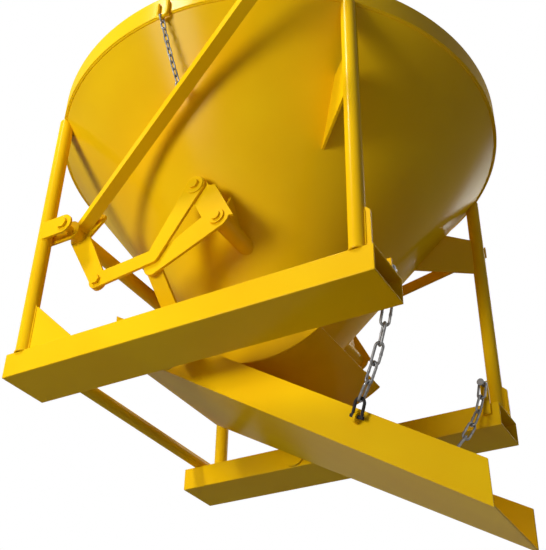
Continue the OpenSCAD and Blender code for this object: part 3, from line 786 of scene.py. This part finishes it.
@dataclass
class Chain:
    """A chain of welded oval links that stands for one CAD chain, link by link."""

    node: str
    name: str
    sides: int = 12
    bend_steps: int = 10
    weld_swell: float = 1.16
    weld_runs: tuple[float, ...] = (0.7, 0.25, 0.1, 0.25, 0.7)
    join_share: float = 0.01

    def places(self, shop: Assembler) -> list[tuple[Matrix, float, float, float]]:
        """Finds each CAD link's place and size.

        Args:
            shop: The assembler.

        Returns:
            For each link its place, outer length, outer width and wire.
        """
        bm = shop.merged(self.node)
        left = set(bm.verts)
        found = []
        while left:
            island = {left.pop()}
            edge_of = list(island)
            while edge_of:
                here = edge_of.pop()
                for e in here.link_edges:
                    other = e.other_vert(here)
                    if other in left:
                        left.discard(other)
                        island.add(other)
                        edge_of.append(other)
            found.append(self.measure(np.array([v.co[:] for v in island])))
        bm.free()
        return found

    def measure(self, points: np.ndarray) -> tuple[Matrix, float, float, float]:
        """Measures one link from its corners.

        Args:
            points: The link's corners.

        Returns:
            Its place, outer length, outer width and wire.
        """
        axes = np.linalg.svd(points - points.mean(0), full_matrices=False)[2]
        if np.linalg.det(axes) < 0:
            axes[2] = -axes[2]
        spans = points @ axes.T
        low, high = spans.min(0), spans.max(0)
        size = high - low
        place = Matrix(axes.T.tolist()).to_4x4()
        place.translation = Vector(((low + high) / 2) @ axes)
        return place, float(size[0]), float(size[1]), float(size[2])

    def link(self, bm: bmesh.types.BMesh, place: Matrix, length: float, width: float, wire: float) -> None:
        """Adds one oval link, with a swelling where its wire is welded.

        Args:
            bm: The mesh that gets it.
            place: Where the link is: its length runs along the place's X axis.
            length: Outer length.
            width: Outer width.
            wire: Wire diameter.
        """
        before = set(bm.verts)
        bend = (width - wire) / 2
        half = (length - width) / 2
        start = Matrix.Translation((-half, -bend, 0)) @ Matrix.Rotation(math.pi / 2, 4, "Y")
        made = bmesh.ops.create_circle(bm, cap_ends=False, radius=wire / 2, segments=self.sides, matrix=start)
        ring = list({e for v in made["verts"] for e in v.link_edges})
        for run, swell in zip(self.weld_runs, (1.0, self.weld_swell, 1.0, 1.0 / self.weld_swell, 1.0)):
            ring = self.step(bm, ring, Vector((run * half, 0, 0)), swell)
        ring = self.turn(bm, ring, Vector((half, 0, 0)))
        ring = self.step(bm, ring, Vector((-2 * half, 0, 0)), 1.0)
        self.turn(bm, ring, Vector((-half, 0, 0)))
        verts = [v for v in bm.verts if v not in before]
        bmesh.ops.remove_doubles(bm, verts=verts, dist=wire * self.join_share)
        verts = [v for v in bm.verts if v not in before]
        faces = list({f for v in verts for f in v.link_faces})
        bmesh.ops.recalc_face_normals(bm, faces=faces)
        bmesh.ops.transform(bm, matrix=place, verts=verts)

    def step(self, bm: bmesh.types.BMesh, ring: list[bmesh.types.BMEdge], run: Vector,
             swell: float) -> list[bmesh.types.BMEdge]:
        """Draws the wire on in a straight line.

        Args:
            bm: The mesh.
            ring: The wire's open end.
            run: How far it goes on.
            swell: Growth of the wire over that run.

        Returns:
            The new open end.
        """
        grown = bmesh.ops.extrude_edge_only(bm, edges=ring)["geom"]
        verts = [g for g in grown if isinstance(g, bmesh.types.BMVert)]
        bmesh.ops.translate(bm, verts=verts, vec=run)
        if swell != 1.0:
            core = sum((v.co for v in verts), Vector()) / len(verts)
            bmesh.ops.scale(bm, verts=verts, vec=(swell,) * 3, space=Matrix.Translation(-core))
        return [g for g in grown if isinstance(g, bmesh.types.BMEdge) and all(v in verts for v in g.verts)]

    def turn(self, bm: bmesh.types.BMesh, ring: list[bmesh.types.BMEdge],
             centre: Vector) -> list[bmesh.types.BMEdge]:
        """Bends the wire through half a turn.

        Args:
            bm: The mesh.
            ring: The wire's open end.
            centre: Centre of the bend.

        Returns:
            The new open end.
        """
        verts = list({v for e in ring for v in e.verts})
        done = bmesh.ops.spin(bm, geom=verts + ring, cent=centre, axis=(0, 0, 1), dvec=(0, 0, 0),
                              angle=math.pi, steps=self.bend_steps, use_merge=False)
        return [g for g in done["geom_last"] if isinstance(g, bmesh.types.BMEdge)]

    def mesh(self, shop: Assembler) -> bmesh.types.BMesh:
        """Makes all links of the chain.

        Args:
            shop: The assembler.

        Returns:
            The chain's mesh.
        """
        bm = bmesh.new()
        for place, length, width, wire in self.places(shop):
            self.link(bm, place, length, width, wire)
        return bm


@dataclass
class ChainSet:
    """The two chute chains, which ride on no body, and the safety chain."""

    def build(self, shop: Assembler) -> None:
        """Builds and sets the chains.

        Args:
            shop: The assembler.
        """
        for side in ("front", "rear"):
            self.chute_chain(shop, f"{side}_chute_chain")
        safety = Chain("safety_chain", "safety_chain_links")
        shop.add(safety.mesh(shop), safety.name, Body.SAFETY_CHAIN, Slot.ZINC, [safety.node])

    def chute_chain(self, shop: Assembler, node: str) -> None:
        """Builds one chute chain, hung between its bolt and its shackle.

        Args:
            shop: The assembler.
            node: The CAD chain's name.
        """
        chain = Chain(node, f"{node}_links")
        piece = shop.add(chain.mesh(shop), chain.name, None, Slot.ZINC, [node])
        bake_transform(piece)


@dataclass(frozen=True)
class Lamp:
    """A square studio lamp."""

    name: str
    place: tuple[float, float, float]
    aim: tuple[float, float, float]
    size: float
    watts: float

    def build(self) -> None:
        """Sets the lamp up, turned to its aim."""
        light = bpy.data.lights.new(self.name, "AREA")
        light.shape = "SQUARE"
        light.size = self.size
        light.energy = self.watts
        lamp = bpy.data.objects.new(self.name, light)
        lamp.location = self.place
        lamp.rotation_euler = (Vector(self.aim) - Vector(self.place)).to_track_quat("-Z", "Y").to_euler()
        bpy.context.scene.collection.objects.link(lamp)


@dataclass
class Studio:
    """Floor, lamps, sky and camera."""

    floor_level: float = -1.65
    floor_radius: float = 9.0
    floor_steps: int = 96
    sky: float = 0.09
    backdrop: float = 1.0
    camera_place: tuple[float, float, float] = (1.32963, -2.31584, -1.32375)
    camera_turn_deg: tuple[float, float, float] = (124.689, -1.052, 29.414)
    focal_pixels: float = 949.157
    photo_height: float = 550.0
    sensor: float = 36.0
    sight: float = 100.0
    lamps: tuple[Lamp, ...] = (
        Lamp("key_lamp", (-1.8, -4.0, 5.2), (0.0, -0.2, 0.4), 1.2, 290.0),
        Lamp("low_lamp", (-1.6, -5.2, -0.2), (0.0, -0.2, 0.4), 1.8, 190.0),
        Lamp("fill_lamp", (4.2, -3.6, 0.6), (0.0, 0.0, 0.3), 3.0, 12.0),
        Lamp("back_lamp", (1.5, 4.6, 3.4), (0.0, 0.0, 0.5), 2.5, 120.0))

    def build(self) -> None:
        """Sets up everything round the object."""
        scene = bpy.context.scene
        scene.view_settings.view_transform = "Standard"
        self.floor()
        self.world(scene)
        for lamp in self.lamps:
            lamp.build()
        self.camera(scene)

    def floor(self) -> None:
        """Lays a round pale floor under the hanging bucket."""
        bm = bmesh.new()
        bmesh.ops.create_circle(bm, cap_ends=True, radius=self.floor_radius, segments=self.floor_steps,
                                matrix=Matrix.Translation((0, 0, self.floor_level)))
        mesh = bpy.data.meshes.new("studio_floor")
        bm.to_mesh(mesh)
        bm.free()
        mesh.materials.append(FLOOR.material())
        floor = bpy.data.objects.new("studio_floor", mesh)
        bpy.context.scene.collection.objects.link(floor)

    def world(self, scene: bpy.types.Scene) -> None:
        """Makes a white backdrop that lights the object at a plain level.

        Args:
            scene: The scene that gets it.
        """
        world = bpy.data.worlds.new("studio_sky")
        world.use_nodes = True
        tree = world.node_tree
        tree.nodes.clear()
        output = tree.nodes.new("ShaderNodeOutputWorld")
        dim = tree.nodes.new("ShaderNodeBackground")
        dim.inputs["Color"].default_value = WHITE
        dim.inputs["Strength"].default_value = self.sky
        white = tree.nodes.new("ShaderNodeBackground")
        white.inputs["Color"].default_value = WHITE
        white.inputs["Strength"].default_value = self.backdrop
        pick = tree.nodes.new("ShaderNodeMixShader")
        tree.links.new(seen_ray(tree), pick.inputs["Fac"])
        tree.links.new(dim.outputs[0], pick.inputs[1])
        tree.links.new(white.outputs[0], pick.inputs[2])
        tree.links.new(pick.outputs[0], output.inputs["Surface"])
        scene.world = world

    def camera(self, scene: bpy.types.Scene) -> None:
        """Sets the camera at the photograph's viewing angle.

        Args:
            scene: The scene that gets it.
        """
        data = bpy.data.cameras.new("photo_camera")
        data.sensor_fit = "VERTICAL"
        data.sensor_height = self.sensor
        data.lens = self.focal_pixels * self.sensor / self.photo_height
        data.clip_end = self.sight
        camera = bpy.data.objects.new("photo_camera", data)
        camera.location = self.camera_place
        camera.rotation_euler = [math.radians(a) for a in self.camera_turn_deg]
        scene.collection.objects.link(camera)
        scene.camera = camera


def main() -> None:
    """Builds the studio and every sub-assembly."""
    logging.basicConfig(level=logging.INFO)
    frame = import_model()
    Studio().build()
    shop = Assembler(frame)
    for assembly in (Hopper(), BaseFrame(), LeverGear(), GateGear(), Chute(), ChainSet()):
        assembly.build(shop)


if __name__ == "__main__":
    main()
